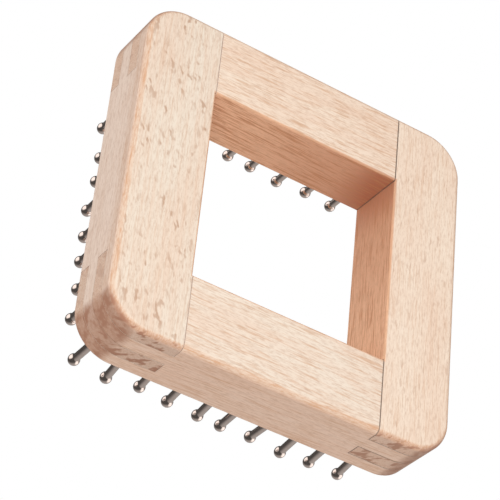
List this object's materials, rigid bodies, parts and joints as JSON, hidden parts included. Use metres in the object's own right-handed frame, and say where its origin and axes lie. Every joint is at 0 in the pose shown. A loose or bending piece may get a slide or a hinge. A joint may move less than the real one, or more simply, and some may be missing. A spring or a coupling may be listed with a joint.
{
  "type": "knitting loom",
  "caption": "Square finger-jointed wooden frame with a square opening and ball-ended steel pegs standing in rows round one face, for knitting small tubes.",
  "frame": {"origin": "centre of the plain face, the face without pegs, which the loom rests on", "axes": "+Z out of the pegged face, along the pegs; +Y along the stiles; +X along the rails"},
  "size_m": [0.1122, 0.1122, 0.0418],
  "materials": {
    "beech": "fine-sanded bare beech",
    "steel": "polished"
  },
  "bodies": {
    "root": {"left_stile": "beech", "right_stile": "beech", "front_rail": "beech", "back_rail": "beech", "peg_back_01": "steel", "peg_back_02": "steel", "peg_back_03": "steel", "peg_back_04": "steel", "peg_back_05": "steel", "peg_back_06": "steel", "peg_back_07": "steel", "peg_back_08": "steel", "peg_back_09": "steel", "peg_back_10": "steel", "peg_front_01": "steel", "peg_front_02": "steel", "peg_front_03": "steel", "peg_front_04": "steel", "peg_front_05": "steel", "peg_front_06": "steel", "peg_front_07": "steel", "peg_front_08": "steel", "peg_front_09": "steel", "peg_front_10": "steel", "peg_left_01": "steel", "peg_left_02": "steel", "peg_left_03": "steel", "peg_left_04": "steel", "peg_left_05": "steel", "peg_left_06": "steel", "peg_left_07": "steel", "peg_left_08": "steel", "peg_right_01": "steel", "peg_right_02": "steel", "peg_right_03": "steel", "peg_right_04": "steel", "peg_right_05": "steel", "peg_right_06": "steel", "peg_right_07": "steel", "peg_right_08": "steel"}
  },
  "joints": []
}
